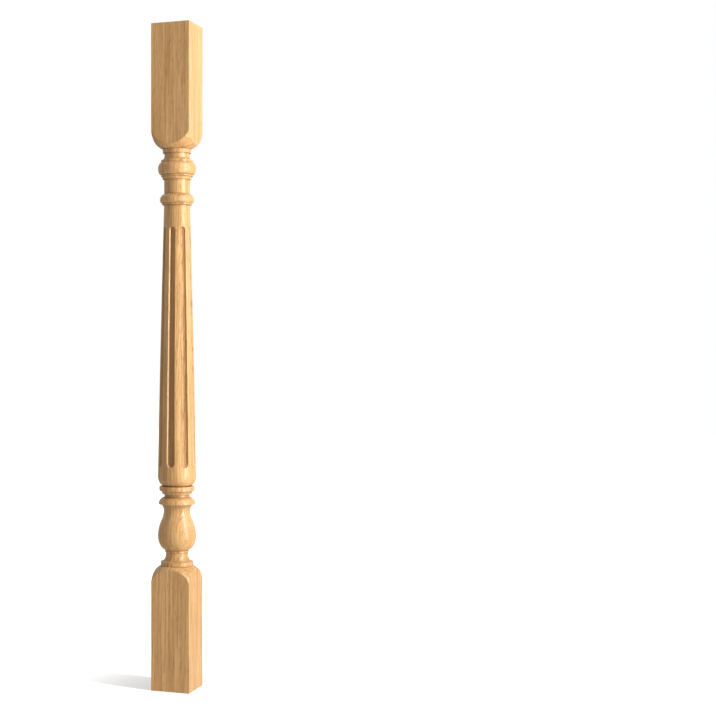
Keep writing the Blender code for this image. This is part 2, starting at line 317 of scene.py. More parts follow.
# %% [markdown]
# ## Softened edges
#
# No edge on sanded wood is perfectly sharp. Each one has a small round that catches the light as
# a fine bright line, and that line is much of what makes an edge look real. A Bevel modifier could
# round them, but it struggles where mouldings are closer together than its own width. The corners
# of the outline are rounded instead, before it is swept round: outer edges by a third of a
# millimetre, which sandpaper does, and inner corners by less, because no paper gets into them.

# %% Round the outline's sharp corners
SHARP_TURN = math.radians(28)
OUTER_ROUND = 0.00035
INNER_ROUND = 0.00015
ROUND_STEPS = 3
LONGEST_CUT = 0.45


def turn_at(before, corner, after):
    """The angle by which an outline turns at a corner, above 0 where it is an inner corner."""
    arriving, leaving = np.subtract(corner, before), np.subtract(after, corner)
    cross = arriving[0] * leaving[1] - arriving[1] * leaving[0]
    return math.atan2(cross, float(arriving @ leaving))


def soften(points):
    """The same outline with every sharp corner rounded."""
    soft = [points[0]]
    for before, corner, after in zip(points, points[1:], points[2:]):
        turn = turn_at(before, corner, after)
        if abs(turn) < SHARP_TURN:
            soft.append(corner)
            continue
        corner = np.array(corner)
        arriving, leaving = corner - before, after - corner
        lengths = np.linalg.norm(arriving), np.linalg.norm(leaving)
        radius = OUTER_ROUND if turn < 0 else INNER_ROUND
        cut = min(radius * math.tan(abs(turn) / 2), LONGEST_CUT * min(lengths))
        start = corner - arriving / lengths[0] * cut
        end = corner + leaving / lengths[1] * cut
        for step in range(ROUND_STEPS + 1):
            share = step / ROUND_STEPS
            bend = (1 - share) ** 2 * start + 2 * share * (1 - share) * corner + share ** 2 * end
            soft.append(tuple(bend))
    soft.append(points[-1])
    return soft


# Each outline borrows a point from the shoulder beside it, so that the corner there is softened too.
top_outline = soften([draw_top_shoulder().points[-2], *top_turnings.points])[1:]
lower_outline = soften([*lower_turnings.points, draw_bottom_shoulder().points[1]])[:-1]
print(f"softened outlines: {len(top_outline)} and {len(lower_outline)} points")

# %% [markdown]
# ## Columns all round
#
# The surface is a net. Its rows are levels up the baluster, and its columns run along the grain.
# Columns that are evenly spaced would cross the edges of the flutes and blocks and make them
# jagged, so the columns are placed to suit the carving. On the turned part they bunch along both
# edges of each flute. On the blocks they bunch at the four corners.

# %% Place the columns
FLUTE_COUNT = 8
FLUTE_WIDTH = 0.0110
FLUTE_DEPTH = 0.0046
BLOCK_EASE = 0.0006
EASE_COLUMNS = 4

FLUTE_HALF_ANGLE = math.asin(FLUTE_WIDTH / 2 / SHAFT_WIDEST_RADIUS)
OCTANT = 2 * math.pi / FLUTE_COUNT
HOLLOW_SHARES = (0, 0.22, 0.43, 0.62, 0.79, 0.94)
LAND_SHARES = (0, 0.035, 0.12, 0.3, 0.5, 0.7, 0.88, 0.965)


def turned_octant():
    """Column angles from the middle of one flute to the middle of the next."""
    hollow = [share * FLUTE_HALF_ANGLE for share in HOLLOW_SHARES]
    land_width = OCTANT - 2 * FLUTE_HALF_ANGLE
    land = [FLUTE_HALF_ANGLE + share * land_width for share in LAND_SHARES]
    far_hollow = [OCTANT - FLUTE_HALF_ANGLE, *[OCTANT - angle for angle in hollow[:0:-1]]]
    return hollow + land + far_hollow


def block_octant(columns):
    """As many column angles from the middle of a block's side to its corner."""
    ease_starts = math.atan2(BLOCK_SIDE / 2 - BLOCK_EASE, BLOCK_SIDE / 2)
    flat = np.linspace(0, ease_starts, columns - EASE_COLUMNS + 1)
    ease = np.linspace(ease_starts, OCTANT, EASE_COLUMNS + 1)
    return [*flat, *ease[1:]]


turned = np.array(turned_octant())
block = np.array(block_octant(len(turned)))
turned_angles = np.concatenate([turned + OCTANT * index for index in range(FLUTE_COUNT)])
block_quarter = np.concatenate([block[:-1], math.pi / 2 - block[:0:-1]])
block_angles = np.concatenate([block_quarter + math.pi / 2 * index for index in range(4)])
print(f"{len(turned_angles)} columns, flutes {2 * math.degrees(FLUTE_HALF_ANGLE):.1f} degrees wide")

# %% [markdown]
# ## Blocks with arched shoulders
#
# The lathe cuts the block's corners away in a curve, and where that round surface meets a flat
# side, it leaves an arch. One way to get the arch is to cut a turned solid with a box. That gives
# the right shape, but a ragged edge that is hard to soften. Here the rows of the net bend to
# follow the arch: for every column, the height where round meets flat is worked out, and the rows
# are spaced towards it.

# %% Measure how far a block and its shoulder reach
RUN_ON_STEPS = 10


def ease_between(first, second, size):
    """The smaller of two reaches, with the edge between them eased over a size."""
    overlap = np.clip(1 - np.abs(first - second) / size, 0, 1)
    return np.minimum(first, second) - overlap ** 2 * size / 4


def square_reach(angles, half_side):
    """How far a square with eased corners reaches in each direction."""
    folded = np.abs((angles + math.pi / 4) % (math.pi / 2) - math.pi / 4)
    centre = half_side - BLOCK_EASE
    along = centre * (np.cos(folded) + np.sin(folded))
    rounded = along + np.sqrt(np.maximum(along ** 2 - 2 * centre ** 2 + BLOCK_EASE ** 2, 0))
    return np.where(folded > math.atan2(centre, half_side), rounded, half_side / np.cos(folded))


def shoulder_reach(heights, curve):
    """The shoulder's radius at some heights, run straight on past its wide end."""
    radii, levels = np.array(curve).T
    slope = (radii[-1] - radii[-2]) / (levels[-1] - levels[-2])
    run = RUN_ON_STEPS * (levels[-1] - levels[-2])
    radii = np.append(radii, radii[-1] + slope * run)
    levels = np.append(levels, levels[-1] + run)
    order = np.argsort(levels)
    return np.interp(heights, levels[order], radii[order])


eased_corner = square_reach(np.array([OCTANT]), BLOCK_SIDE / 2)[0]
print(f"block corner: {eased_corner * 1000:.2f} mm out eased, {CORNER_RADIUS * 1000:.2f} mm out sharp")

# %% Build the levels of a block and its shoulder
ARCH_EASE = 0.0005
ARCH_SPREAD = 0.0007
ARCH_LEVELS = 5
SHOULDER_LEVELS = 14
BLOCK_LEVELS = 4
BLOCK_PLAIN = 0.004
END_ROUND = 0.0004
END_STEPS = 3


def block_levels(curve, end_height):
    """Levels from a shoulder's narrow end, over its arch and along the block to its end face."""
    radii, heights = np.array(curve).T
    away = math.copysign(1, end_height - heights[0])
    flat = square_reach(block_angles, BLOCK_SIDE / 2)
    arch = np.interp(flat, radii, heights)
    levels = []
    for share in np.linspace(0, 1, SHOULDER_LEVELS + 1)[1:-1]:
        level = heights[0] + share * (arch - away * ARCH_SPREAD - heights[0])
        angles = turned_angles + share * (block_angles - turned_angles)
        levels.append((angles, shoulder_reach(level, curve), level))
    for offset in np.linspace(-1, 1, ARCH_LEVELS) * ARCH_SPREAD:
        level = arch + away * offset
        reach = ease_between(shoulder_reach(level, curve), flat, ARCH_EASE)
        levels.append((block_angles, reach, level))
    block_starts, block_ends = heights[-1] + away * BLOCK_PLAIN, end_height - away * END_ROUND
    for height in np.linspace(block_starts, block_ends, BLOCK_LEVELS):
        levels.append((block_angles, flat, np.full_like(flat, height)))
    for step in range(1, END_STEPS + 1):
        angle = math.pi / 2 * step / END_STEPS
        inset = END_ROUND * (1 - math.cos(angle))
        height = end_height - away * END_ROUND * (1 - math.sin(angle))
        reach = square_reach(block_angles, BLOCK_SIDE / 2 - inset)
        levels.append((block_angles, reach, np.full_like(flat, height)))
    return levels


top_block = block_levels(draw_top_shoulder().points[::-1], HEIGHT)
bottom_block = block_levels(draw_bottom_shoulder().points, 0.0)
print(f"blocks: {len(top_block)} and {len(bottom_block)} levels")

# %% [markdown]
# ## Flutes
#
# A flute is cut by a round-nosed cutter that runs along the shaft, so its cross-section is part of
# a circle and its ends are part of a ball. The cutter's width and depth are set as shares of the
# shaft's radius, and the flutes narrow with the taper as the real ones do. The rows bend to follow
# the rounded ends, and the edge along each flute is eased a little.

# %% Work out the shaft and the flute cutter
SHAFT_SWELL = 0.0004


def draw_shaft():
    """The long taper with its faint swell."""
    pen = Outline(SHAFT_TOP_RADIUS, shaft_top)
    pen.arc(SHAFT_WIDEST_RADIUS, shaft_top - shaft_foot, SHAFT_SWELL)
    return pen.points


shaft_radii, shaft_heights = np.array(draw_shaft()[::-1]).T


def shaft_radius(heights):
    """The shaft's radius before it is fluted."""
    return np.interp(heights, shaft_heights, shaft_radii)


half_width_share = FLUTE_WIDTH / 2 / SHAFT_WIDEST_RADIUS
depth_share = FLUTE_DEPTH / SHAFT_WIDEST_RADIUS
hollow_share = depth_share - (1 - math.sqrt(1 - half_width_share ** 2))
cutter_share = (half_width_share ** 2 + hollow_share ** 2) / (2 * hollow_share)
distance_share = 1 - depth_share + cutter_share
reach_share = math.sqrt(cutter_share ** 2 - (distance_share - 1) ** 2)
print(f"flute cutter: {cutter_share * SHAFT_WIDEST_RADIUS * 2000:.1f} mm across at the shaft's foot")

# %% Build the levels of the fluted shaft
FLUTE_TOP_GAP = 0.0300
FLUTE_FOOT_GAP = 0.0130
ARRIS_EASE = 0.0004
ARRIS_SPREAD = 0.00035
END_MARGIN = 0.0015
BEFORE_EDGE = (0, 0.4, 0.75)
ACROSS_EDGE = (1, 0.5, 0, -0.5, -1)
PAST_EDGE = (0.12, 0.28, 0.46, 0.64, 0.82, 1)
STRAIGHT_LEVELS = 30
NO_CUT = 1.0

flute_phases = (turned_angles + OCTANT / 2) % OCTANT - OCTANT / 2
flute_tips = {1: shaft_top - FLUTE_TOP_GAP, -1: shaft_foot + FLUTE_FOOT_GAP}


def ball_centre(end):
    """Where the cutter's ball stops: end 1 is the top of a flute and -1 its foot."""
    return flute_tips[end] - end * reach_share * float(shaft_radius(flute_tips[end]))


def fluted_reach(heights):
    """How far out the wood is in each column, with the flutes cut."""
    plain = shaft_radius(heights)
    inside = np.clip(heights, ball_centre(-1), ball_centre(1))
    past = np.abs(heights - inside)
    scale = np.where(past > 0, shaft_radius(np.where(heights > inside, flute_tips[1], flute_tips[-1])), plain)
    cutter = (cutter_share * scale) ** 2 - past ** 2
    distance = distance_share * scale
    half_chord = cutter - (distance * np.sin(flute_phases)) ** 2
    floor = distance * np.cos(flute_phases) - np.sqrt(np.maximum(half_chord, 0))
    floor = np.where(half_chord > 0, floor, NO_CUT)
    return ease_between(plain, floor, ARRIS_EASE)


def flute_end_heights(end):
    """Rows round one end of the flutes, from plain wood to where the hollow runs straight."""
    tip, centre = flute_tips[end], ball_centre(end)
    radius = float(shaft_radius(tip))
    distance = distance_share * radius
    gap = radius ** 2 + distance ** 2 - 2 * radius * distance * np.cos(flute_phases)
    edge = centre + end * np.sqrt(np.maximum((cutter_share * radius) ** 2 - gap, 0))
    outside = np.full_like(edge, tip + end * END_MARGIN)
    inside = np.full_like(edge, centre - end * END_MARGIN)
    rows = [outside + share * (edge + end * ARRIS_SPREAD - outside) for share in BEFORE_EDGE]
    rows += [edge + end * ARRIS_SPREAD * offset for offset in ACROSS_EDGE]
    near = edge - end * ARRIS_SPREAD
    rows += [near + share * (inside - near) for share in PAST_EDGE]
    return rows


top_end = flute_end_heights(1)
foot_end = flute_end_heights(-1)[::-1]
straight = np.linspace(top_end[-1], foot_end[0], STRAIGHT_LEVELS + 2)[1:-1]
shaft_levels = [
    (turned_angles, fluted_reach(heights), heights)
    for heights in [*top_end, *straight, *foot_end]
]
print(f"shaft: {len(shaft_levels)} levels, flutes {(flute_tips[1] - flute_tips[-1]) * 1000:.0f} mm long")

# %% [markdown]
# ## The whole turned part
#
# The turnings and the shaft are joined into one stack of levels. An upright stretch of an outline
# has points only at its two ends. That is enough for its shape, but not for a colour that changes
# close to a corner, so a few levels are added there.

# %% Stack the turned part
CORNER_STEPS = (0.0004, 0.0010, 0.0025, 0.0050, 0.0080)
SAME_POINT = 0.000001


def crowd_corners(outline):
    """The same outline with extra points near both ends of its upright stretches."""
    crowded = [outline[0]]
    for (radius, height), (next_radius, next_height) in zip(outline, outline[1:]):
        if math.isclose(radius, next_radius, abs_tol=SAME_POINT):
            steps = [step for step in CORNER_STEPS if step < (height - next_height) / 2]
            crowded += [(radius, height - step) for step in steps]
            crowded += [(radius, next_height + step) for step in reversed(steps)]
        crowded.append((next_radius, next_height))
    return crowded


def turned_levels(outline):
    """A level at each point of an outline that is the same all round."""
    return [
        (turned_angles, np.full_like(turned_angles, radius), np.full_like(turned_angles, height))
        for radius, height in outline
    ]


under_bead = [(float(shaft_radius(shaft_top - step)), shaft_top - step) for step in CORNER_STEPS]
turned_part = [
    *turned_levels(crowd_corners(top_outline)),
    *turned_levels(under_bead),
    *shaft_levels,
    *turned_levels(crowd_corners(lower_outline)),
]
print(f"turned part: {len(turned_part)} levels")

# %% [markdown]
# ## Painted shade in the grooves
#
# On the real piece the grooves are browner than shade alone makes them here, so shade is painted
# into them as a browner colour, and each point of the net gets a depth of painted shade. Wide hollows
# and flutes count by how far they lie below their surroundings, which are found by laying a cone of a
# set slope over every level and keeping the highest. The tight corners where one moulding meets the
# next get thin dark lines of painted shade, and there a point counts by how close it is to the corner.

# %% Measure the grooves
HOLLOW_SLOPE = 0.8
HOLLOW_DEPTH = 0.006
HOLLOW_SHARE = 0.7
CORNER_WIDTH = 0.0008


def inner_corners(outline):
    """The sharp corners where one moulding meets the next."""
    return [
        corner
        for before, corner, after in zip(outline, outline[1:], outline[2:])
        if turn_at(before, corner, after) > SHARP_TURN
    ]


def groove_depths(levels, corners):
    """For each level, how much painted shade every column gets from the hollows and tight corners, from 0 to
    1.
    """
    places = np.array([(reach.max(), heights.mean()) for angles, reach, heights in levels])
    gaps = np.linalg.norm(places[:, None] - np.array(corners)[None], axis=2).min(axis=1)
    tight = np.clip(1 - gaps / CORNER_WIDTH, 0, 1)
    radii, middles = places.T
    around = (radii[None, :] - HOLLOW_SLOPE * np.abs(middles[None, :] - middles[:, None])).max(axis=1)
    return [
        np.maximum(closeness, HOLLOW_SHARE * np.clip((outer - reach) / HOLLOW_DEPTH, 0, 1))
        for closeness, outer, (angles, reach, heights) in zip(tight, around, levels)
    ]


tight_corners = inner_corners([
    draw_top_shoulder().points[-2],
    *top_turnings.points,
    *under_bead,
    *lower_turnings.points,
    draw_bottom_shoulder().points[1],
])
# Painted shade: how far the colour is darkened in each hollow, flute and tight corner.
turned_grooves = groove_depths(turned_part, tight_corners)
print(f"grooves: {len(tight_corners)} tight corners")

# %% [markdown]
# ## The net becomes a mesh
#
# All levels are stacked from the top down and joined by four-sided faces, and one flat face
# closes each end. The piece then rides on the solid model's only body and stands in for its only
# solid, which stays underneath for weight and collision. A Weighted Normal modifier keeps the big
# flat sides flat to the eye, although the faces beside them are rounded.

# %% Make the baluster
def net_mesh(name, levels, grooves):
    """A closed mesh through all levels, with a flat face at each end and the depths of its painted shade."""
    points = np.concatenate([
        np.column_stack([reach * np.cos(angles), reach * np.sin(angles), heights])
        for angles, reach, heights in levels
    ])
    columns = len(levels[0][0])
    faces = []
    for level in range(len(levels) - 1):
        for column in range(columns):
            beside = (column + 1) % columns
            here, below = level * columns, (level + 1) * columns
            faces.append((here + column, below + column, below + beside, here + beside))
    faces.append(tuple(range(columns)))
    faces.append(tuple((len(levels) - 1) * columns + column for column in reversed(range(columns))))
    mesh = bpy.data.meshes.new(name)
    mesh.from_pydata(points.tolist(), [], faces)
    # Each point keeps its share of painted shade, which the material reads to darken the grooves.
    mesh.attributes.new("groove", "FLOAT", "POINT").data.foreach_set("value", np.concatenate(grooves))
    shape = bmesh.new()
    shape.from_mesh(mesh)
    bmesh.ops.remove_doubles(shape, verts=shape.verts, dist=SAME_POINT)
    bmesh.ops.recalc_face_normals(shape, faces=shape.faces)
    shape.to_mesh(mesh)
    shape.free()
    mesh.shade_smooth()
    return mesh


levels = [*top_block[::-1], *turned_part, *bottom_block]
# The blocks get no painted shade.
no_groove = np.zeros_like(turned_angles)
grooves = [no_groove] * len(top_block) + turned_grooves + [no_groove] * len(bottom_block)
baluster_mesh = net_mesh("fluted_baluster", levels, grooves)
baluster = bpy.data.objects.new("fluted_baluster", baluster_mesh)
bpy.context.scene.collection.objects.link(baluster)
even = baluster.modifiers.new("Even shading", "WEIGHTED_NORMAL")
even.mode = "FACE_AREA"
even.weight = 50

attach(baluster, "root")
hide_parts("baluster")
triangles = sum(len(face.vertices) - 2 for face in baluster_mesh.polygons)
print(f"baluster: {len(levels)} levels, {triangles} triangles")

# %% [markdown]
# ## Oak, from the inside out
#
# Wood isn't painted on. Its pattern runs through the whole stick, and the lathe only uncovers it.
# So the material is worked out in three dimensions, from each point's place in the stick. Where a
# turning cuts through the growth rings at a slant, the nested arches and teardrops that a turner
# knows come out by themselves, and the end faces show the rings as arcs.
#
# Three effects make the pattern, each as a node group with named inputs: growth rings, open pores
# and fine fibre.

# %% Make helpers for node trees
def add_node(tree, kind, **settings):
    """A new node, with its properties set by name."""
    node = tree.nodes.new(kind)
    for name, value in settings.items():
        setattr(node, name, value)
    return node


def feed(tree, value, socket):
    """Link an output to a socket, or set the socket's own value."""
    if isinstance(value, bpy.types.NodeSocket):
        tree.links.new(value, socket)
    else:
        socket.default_value = value


def math_node(tree, operation, *values):
    """One step of arithmetic in a node tree."""
    node = add_node(tree, "ShaderNodeMath", operation=operation)
    for value, socket in zip(values, node.inputs):
        feed(tree, value, socket)
    return node.outputs[0]


def scale_point(tree, point, scale):
    """A point with each of its axes scaled."""
    node = add_node(tree, "ShaderNodeVectorMath", operation="MULTIPLY")
    feed(tree, point, node.inputs[0])
    node.inputs[1].default_value = scale
    return node.outputs[0]


def noise(tree, point, detail, roughness=0.5):
    """Soft noise from 0 to 1, about one bump to each unit of the point's own scale."""
    node = add_node(tree, "ShaderNodeTexNoise")
    feed(tree, point, node.inputs["Vector"])
    node.inputs["Scale"].default_value = 1.0
    node.inputs["Detail"].default_value = detail
    node.inputs["Roughness"].default_value = roughness
    return node.outputs["Fac"]


helpers = (add_node, feed, math_node, scale_point, noise)
print("helpers:", ", ".join(helper.__name__ for helper in helpers))

# %% [markdown]
# ### Ring space
#
# The pith, the heart of the tree, lies just outside the stick, beyond its front right corner, and
# everything in the wood follows the rings round it. So each point of the stick is first given a
# new place: how far it is from the pith, how far round, and how high. The distance wavers a
# little, as no tree grows in perfect circles. A pattern that is fine across the rings and long in
# the other two directions then runs along the grain on any cut, however it slants.

# %% Turn a point of the stick into ring space
PITH = (0.028, -0.028)
PITH_LEAN = (0.006, -0.004)
WAVER = 0.007
WAVER_SCALE = (36, 36, 4.5)


def ring_point(tree, point):
    """A point's distance from the pith, its place round the pith and its height, as a vector."""
    axes = add_node(tree, "ShaderNodeSeparateXYZ")
    tree.links.new(point, axes.inputs[0])
    offsets = []
    for axis, place, lean in zip("XY", PITH, PITH_LEAN):
        leaning = math_node(tree, "MULTIPLY", axes.outputs["Z"], lean)
        shifted = math_node(tree, "SUBTRACT", axes.outputs[axis], leaning)
        offsets.append(math_node(tree, "SUBTRACT", shifted, place))
    squares = [math_node(tree, "MULTIPLY", offset, offset) for offset in offsets]
    distance = math_node(tree, "SQRT", math_node(tree, "ADD", *squares))
    round_angle = math_node(tree, "ARCTAN2", offsets[1], offsets[0])
    waver = math_node(tree, "MULTIPLY", noise(tree, scale_point(tree, point, WAVER_SCALE), 2), WAVER)

    place = add_node(tree, "ShaderNodeCombineXYZ")
    feed(tree, math_node(tree, "ADD", distance, waver), place.inputs["X"])
    feed(tree, math_node(tree, "MULTIPLY", round_angle, math.hypot(*PITH)), place.inputs["Y"])
    feed(tree, axes.outputs["Z"], place.inputs["Z"])
    return place.outputs[0]


print(f"pith {math.hypot(*PITH) * 1000:.0f} mm from the axis of the stick")

# %% [markdown]
# ### Growth rings
#
# Each year starts with a dark band of open wood that fades into paler, denser wood. No two years
# are equally strong. Where a turning cuts the rings at a slant, they show as nested teardrops.

# %% Make the growth rings
EARLY_WOOD_FADE = 0.42
YEAR_STARTS = 0.93
WEAKEST_YEAR = 0.2


def spread(tree, value, low, high, to_low=0.0, to_high=1.0):
    """Stretch a range of values to another range, with soft ends."""
    node = add_node(tree, "ShaderNodeMapRange", interpolation_type="SMOOTHSTEP")
    for given, name in zip(
        (value, low, high, to_low, to_high), ("Value", "From Min", "From Max", "To Min", "To Max")
    ):
        feed(tree, given, node.inputs[name])
    return node.outputs["Result"]


def new_group(name, inputs, outputs):
    """An empty node group with named inputs and outputs, and its two end nodes."""
    group = bpy.data.node_groups.new(name, "ShaderNodeTree")
    for socket, kind in inputs.items():
        group.interface.new_socket(socket, in_out="INPUT", socket_type=kind)
    for socket in outputs:
        group.interface.new_socket(socket, in_out="OUTPUT", socket_type="NodeSocketFloat")
    return group, group.nodes.new("NodeGroupInput").outputs, group.nodes.new("NodeGroupOutput").inputs


def make_growth_rings():
    """Output: Band, dark where a year's growth starts."""
    group, given, result = new_group(
        "growth rings", {"Point": "NodeSocketVector", "Ring Width": "NodeSocketFloat"}, ("Band",)
    )
    place = add_node(group, "ShaderNodeSeparateXYZ")
    group.links.new(ring_point(group, given["Point"]), place.inputs[0])
    phase = math_node(group, "DIVIDE", place.outputs["X"], given["Ring Width"])
    year = add_node(group, "ShaderNodeTexWhiteNoise", noise_dimensions="1D")
    group.links.new(math_node(group, "FLOOR", phase), year.inputs["W"])
    share = math_node(group, "FRACT", phase)
    fading = spread(group, share, 0.0, EARLY_WOOD_FADE, 1.0, 0.0)
    starting = spread(group, share, YEAR_STARTS, 1.0)
    band = math_node(group, "MAXIMUM", math_node(group, "POWER", fading, 2.0), starting)
    strength = math_node(group, "MULTIPLY_ADD", year.outputs["Value"], 1 - WEAKEST_YEAR, WEAKEST_YEAR)
    group.links.new(math_node(group, "MULTIPLY", band, strength), result["Band"])
    return group


growth_rings = make_growth_rings()
print("node group:", growth_rings.name)

# %% [markdown]
# ### Open pores
#
# Oak carries its sap in tubes wide enough to see. Cut along their length, they are short dark
# dashes that follow the grain. They are cells of a pattern that is stretched along the stick, and
# only some of the cells are kept.

# %% Make the pores
PORE_CORE = 0.12
PORE_EDGE = 0.40
FAINTEST_PORE = 0.4


def make_pores():
    """Output: Pore, 1 in the middle of a pore and 0 between pores."""
    sizes = ("Width", "Breadth", "Length")
    inputs = {"Point": "NodeSocketVector", "Amount": "NodeSocketFloat"}
    for size in sizes:
        inputs[size] = "NodeSocketFloat"
    group, given, result = new_group("open pores", inputs, ("Pore",))
    place = add_node(group, "ShaderNodeSeparateXYZ")
    group.links.new(ring_point(group, given["Point"]), place.inputs[0])
    cell = add_node(group, "ShaderNodeCombineXYZ")
    for axis, size in zip("XYZ", sizes):
        feed(group, math_node(group, "DIVIDE", place.outputs[axis], given[size]), cell.inputs[axis])
    cells = add_node(group, "ShaderNodeTexVoronoi", feature="F1", voronoi_dimensions="3D")
    group.links.new(cell.outputs[0], cells.inputs["Vector"])
    cells.inputs["Scale"].default_value = 1.0
    pore = spread(group, cells.outputs["Distance"], PORE_CORE, PORE_EDGE, 1.0, 0.0)
    keep = add_node(group, "ShaderNodeSeparateColor")
    group.links.new(cells.outputs["Color"], keep.inputs[0])
    kept = math_node(group, "LESS_THAN", keep.outputs[0], given["Amount"])
    depth = math_node(group, "MULTIPLY_ADD", keep.outputs[1], 1 - FAINTEST_PORE, FAINTEST_PORE)
    pore = math_node(group, "MULTIPLY", pore, math_node(group, "MULTIPLY", kept, depth))
    group.links.new(pore, result["Pore"])
    return group


pores = make_pores()
print("node group:", pores.name)

# %% [markdown]
# ### Fine fibre
#
# Between the pores the wood is a bundle of hair-thin fibres. They are too fine to draw one by
# one, and show as a soft streakiness along the grain. Two layers of stretched noise do it: a
# close one that reads as silk, and a wide one that makes whole streaks lighter or darker.

# %% Make the fibre
SILK_SCALE = (1900, 150, 20)
SILK_HARSHNESS = 0.75
STREAK_SCALE = (380, 50, 9)
STREAK_HARSHNESS = 0.6
FIBRE_DETAIL = 4


def make_fibre():
    """Outputs: Silk, the finest streaks, and Streak, broad ones that shift the tone."""
    group, given, result = new_group("wood fibre", {"Point": "NodeSocketVector"}, ("Silk", "Streak"))
    place = ring_point(group, given["Point"])
    silk = noise(group, scale_point(group, place, SILK_SCALE), FIBRE_DETAIL, SILK_HARSHNESS)
    streak = noise(group, scale_point(group, place, STREAK_SCALE), FIBRE_DETAIL, STREAK_HARSHNESS)
    group.links.new(silk, result["Silk"])
    group.links.new(streak, result["Streak"])
    return group


fibre = make_fibre()
print("node group:", fibre.name)

# %% [markdown]
# ## The colour of the oak
#
# The material mixes four tones of the same oak by those masks, and a fifth, darker one that paints
# shade into the grooves. It is pale and golden where the wood is dense, and browner in the early wood
# and the pores. The rings are used twice, once for every year and once, wider, for the few years that
# stand out from a distance. Each darker tone is laid over the ones before it, as a stain would be, and
# the painted shade goes on last.

# %% Gather the masks
RING_WIDTH = 0.0017
STRONG_RING_WIDTH = 0.0054
PORE_WIDTH = 0.0005
PORE_BREADTH = 0.0026
PORE_LENGTH = 0.014
PORE_AMOUNT = 0.5
PORES_IN_RINGS = 0.15
BROAD_SCALE = (70, 70, 5)
BROAD_SHARE = 0.5
TONE_RANGE = (0.55, 0.98)


def use_group(tree, group, point, **values):
    """A node group placed in a material, fed with a point and its own values."""
    node = add_node(tree, "ShaderNodeGroup", node_tree=group)
    tree.links.new(point, node.inputs["Point"])
    for name, value in values.items():
        node.inputs[name.replace("_", " ")].default_value = value
    return node.outputs


def oak_masks(tree, point):
    """Every mask that the oak is mixed by, under its own name."""
    ring = use_group(tree, growth_rings, point, Ring_Width=RING_WIDTH)["Band"]
    strong_year = use_group(tree, growth_rings, point, Ring_Width=STRONG_RING_WIDTH)["Band"]
    sizes = {"Width": PORE_WIDTH, "Breadth": PORE_BREADTH, "Length": PORE_LENGTH}
    pore = use_group(tree, pores, point, Amount=PORE_AMOUNT, **sizes)["Pore"]
    gathered = math_node(tree, "MULTIPLY_ADD", ring, PORES_IN_RINGS, 1 - PORES_IN_RINGS)
    streaks = use_group(tree, fibre, point)
    broad = noise(tree, scale_point(tree, point, BROAD_SCALE), 2)
    tone = math_node(tree, "ADD", streaks["Streak"], math_node(tree, "MULTIPLY", broad, BROAD_SHARE))
    return {
        "tone": spread(tree, tone, *TONE_RANGE),
        "silk": streaks["Silk"],
        "ring": ring,
        "strong year": strong_year,
        "pore": pore,
        "dash": math_node(tree, "MULTIPLY", pore, gathered),
        # Painted shade for the grooves and tight corners, read from the mesh.
        "groove": add_node(tree, "ShaderNodeAttribute", attribute_name="groove").outputs["Fac"],
    }


print(f"rings {RING_WIDTH * 1000:.1f} mm wide, pores {PORE_WIDTH * 1000:.1f} x {PORE_LENGTH * 1000:.0f} mm")

# %% Mix the colour
PALE_OAK = (0.79, 0.475, 0.200, 1)
DEEP_OAK = (0.58, 0.315, 0.112, 1)
EARLY_WOOD = (0.28, 0.115, 0.030, 1)
PORE_BROWN = (0.13, 0.052, 0.016, 1)
# The brown of the painted shade that darkens the grooves and tight corners.
PAINTED_SHADE_BROWN = (0.20, 0.090, 0.026, 1)
SILK_RANGE = (0.50, 0.66)
SILK_SHARE = 0.75
RING_SHARE = 0.62
STRONG_YEAR_SHARE = 0.38
DASH_SHARE = 1.0
PAINTED_SHADE_SHARE = 0.85
# A Mix node has a set of sockets for each kind of value. These are its share and its colours.
MIX_INPUTS = (0, 6, 7)
MIX_OUTPUT = 2


def blend_tone(tree, share, first, second):
    """One colour shading into another by a mask."""
    node = add_node(tree, "ShaderNodeMix", data_type="RGBA")
    for value, index in zip((share, first, second), MIX_INPUTS):
        feed(tree, value, node.inputs[index])
    return node.outputs[MIX_OUTPUT]


def oak_colour(tree, masks):
    """Pale oak, with each darker tone laid over it in turn, and painted shade in the grooves last."""
    colour = blend_tone(tree, masks["tone"], PALE_OAK, DEEP_OAK)
    layers = (
        (spread(tree, masks["silk"], *SILK_RANGE), SILK_SHARE, EARLY_WOOD),
        (masks["ring"], RING_SHARE, EARLY_WOOD),
        (masks["strong year"], STRONG_YEAR_SHARE, EARLY_WOOD),
        (masks["dash"], DASH_SHARE, PORE_BROWN),
        # Last comes painted shade in the grooves and tight corners, not a colour of the wood.
        (masks["groove"], PAINTED_SHADE_SHARE, PAINTED_SHADE_BROWN),
    )
    for mask, share, brown in layers:
        colour = blend_tone(tree, math_node(tree, "MULTIPLY", mask, share), colour, brown)
    return colour


print("pale oak", PALE_OAK[:3], "down to pore brown", PORE_BROWN[:3])

# %% [markdown]
# ## Under a satin lacquer
#
# Over the wood lies a satin clear lacquer, a second thin gloss that the shader calls a coat. It is
# thinner over the pores. The grain also dents the surface a little, and the highlight breaks up
# over it as on real wood.

# %% Make the lacquered oak
ROUGHNESS_RANGE = (0.40, 0.50)
SPECULAR_LEVEL = 0.35
COAT_WEIGHT = 0.22
COAT_LOST_IN_PORES = 0.2
COAT_ROUGHNESS = 0.24
SILK_RISE = 0.35
PORE_DENT = 1.0
RING_DENT = 0.5
BUMP_STRENGTH = 0.5
GRAIN_RELIEF = 0.00010


def grain_normal(tree, masks):
    """The surface's direction, roughened by the silk and dented by pores and rings."""
    relief = math_node(tree, "MULTIPLY", masks["silk"], SILK_RISE)
    relief = math_node(tree, "MULTIPLY_ADD", masks["pore"], -PORE_DENT, relief)
    relief = math_node(tree, "MULTIPLY_ADD", masks["ring"], -RING_DENT, relief)
    bump = add_node(tree, "ShaderNodeBump")
    bump.inputs["Strength"].default_value = BUMP_STRENGTH
    bump.inputs["Distance"].default_value = GRAIN_RELIEF
    tree.links.new(relief, bump.inputs["Height"])
    return bump.outputs["Normal"]


